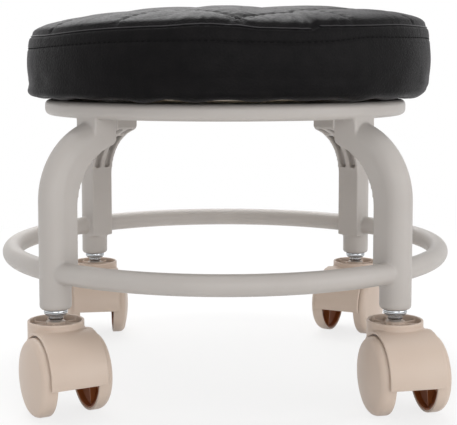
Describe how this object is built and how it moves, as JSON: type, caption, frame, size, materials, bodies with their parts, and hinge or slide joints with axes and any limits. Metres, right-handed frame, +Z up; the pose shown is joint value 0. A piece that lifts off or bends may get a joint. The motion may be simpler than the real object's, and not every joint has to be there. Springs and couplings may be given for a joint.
{
  "type": "creeper seat",
  "caption": "Low rolling work seat: round padded cushion on a moulded base with bent legs and a foot ring, on twin-wheel swivel casters.",
  "frame": {"origin": "on the floor under the middle of the base, where the four casters' swivel axes are centred", "axes": "+Z up, -Y the side that the picture is taken from, +X to its right"},
  "size_m": [0.3251, 0.325, 0.2624],
  "materials": {
    "base_plastic": "warm grey moulded plastic, fine satin grain",
    "caster_plastic": "beige moulded nylon, satin",
    "cover_leatherette": "black grained leatherette, soft sheen",
    "foam": "open-cell seat foam",
    "plywood": "raw plywood",
    "staple_steel": "galvanised wire",
    "zinc_steel": "bright zinc plate",
    "spring_steel": "plain spring steel"
  },
  "bodies": {
    "seat_base": {"base_deck": "base_plastic", "foot_ring": "base_plastic", "front_left_leg": "base_plastic", "front_right_leg": "base_plastic", "rear_left_leg": "base_plastic", "rear_right_leg": "base_plastic", "seat_cover": "cover_leatherette", "cover_hem": "cover_leatherette", "seat_foam": "foam", "seat_board": "plywood", "cover_staples": "staple_steel", "tee_nuts": "zinc_steel", "seat_bolts": "zinc_steel", "seat_washers": "zinc_steel", "front_left_stem": "zinc_steel", "front_left_grip_ring": "spring_steel", "front_right_stem": "zinc_steel", "front_right_grip_ring": "spring_steel", "rear_left_stem": "zinc_steel", "rear_left_grip_ring": "spring_steel", "rear_right_stem": "zinc_steel", "rear_right_grip_ring": "spring_steel"},
    "front_left_caster": {"front_left_caster_body": "caster_plastic", "front_left_axle": "zinc_steel"},
    "front_left_wheel_left": {"front_left_wheel_left": "caster_plastic"},
    "front_left_wheel_right": {"front_left_wheel_right": "caster_plastic"},
    "front_right_caster": {"front_right_caster_body": "caster_plastic", "front_right_axle": "zinc_steel"},
    "front_right_wheel_left": {"front_right_wheel_left": "caster_plastic"},
    "front_right_wheel_right": {"front_right_wheel_right": "caster_plastic"},
    "rear_left_caster": {"rear_left_caster_body": "caster_plastic", "rear_left_axle": "zinc_steel"},
    "rear_left_wheel_left": {"rear_left_wheel_left": "caster_plastic"},
    "rear_left_wheel_right": {"rear_left_wheel_right": "caster_plastic"},
    "rear_right_caster": {"rear_right_caster_body": "caster_plastic", "rear_right_axle": "zinc_steel"},
    "rear_right_wheel_left": {"rear_right_wheel_left": "caster_plastic"},
    "rear_right_wheel_right": {"rear_right_wheel_right": "caster_plastic"}
  },
  "joints": [
    {"name": "front_left_swivel", "type": "hinge", "parent": "seat_base", "child": "front_left_caster", "pos_m": [-0.11, -0.11, 0.0569], "axis": [0, 0, 1], "continuous": true},
    {"name": "front_left_wheel_left_spin", "type": "hinge", "parent": "front_left_caster", "child": "front_left_wheel_left", "pos_m": [-0.10253, -0.1237, 0.025], "axis": [0.878, 0.4787, 0], "continuous": true},
    {"name": "front_left_wheel_right_spin", "type": "hinge", "parent": "front_left_caster", "child": "front_left_wheel_right", "pos_m": [-0.10253, -0.1237, 0.025], "axis": [0.878, 0.4787, 0], "continuous": true},
    {"name": "front_right_swivel", "type": "hinge", "parent": "seat_base", "child": "front_right_caster", "pos_m": [0.11, -0.11, 0.0569], "axis": [0, 0, 1], "continuous": true},
    {"name": "front_right_wheel_left_spin", "type": "hinge", "parent": "front_right_caster", "child": "front_right_wheel_left", "pos_m": [0.11335, -0.12524, 0.025], "axis": [0.9767, 0.2147, 0], "continuous": true},
    {"name": "front_right_wheel_right_spin", "type": "hinge", "parent": "front_right_caster", "child": "front_right_wheel_right", "pos_m": [0.11335, -0.12524, 0.025], "axis": [0.9767, 0.2147, 0], "continuous": true},
    {"name": "rear_left_swivel", "type": "hinge", "parent": "seat_base", "child": "rear_left_caster", "pos_m": [-0.11, 0.11, 0.0569], "axis": [0, 0, 1], "continuous": true},
    {"name": "rear_left_wheel_left_spin", "type": "hinge", "parent": "rear_left_caster", "child": "rear_left_wheel_left", "pos_m": [-0.10777, 0.09456, 0.025], "axis": [0.9898, 0.1426, 0], "continuous": true},
    {"name": "rear_left_wheel_right_spin", "type": "hinge", "parent": "rear_left_caster", "child": "rear_left_wheel_right", "pos_m": [-0.10777, 0.09456, 0.025], "axis": [0.9898, 0.1426, 0], "continuous": true},
    {"name": "rear_right_swivel", "type": "hinge", "parent": "seat_base", "child": "rear_right_caster", "pos_m": [0.11, 0.11, 0.0569], "axis": [0, 0, 1], "continuous": true},
    {"name": "rear_right_wheel_left_spin", "type": "hinge", "parent": "rear_right_caster", "child": "rear_right_wheel_left", "pos_m": [0.10277, 0.09617, 0.025], "axis": [0.8862, -0.4633, 0], "continuous": true},
    {"name": "rear_right_wheel_right_spin", "type": "hinge", "parent": "rear_right_caster", "child": "rear_right_wheel_right", "pos_m": [0.10277, 0.09617, 0.025], "axis": [0.8862, -0.4633, 0], "continuous": true}
  ]
}
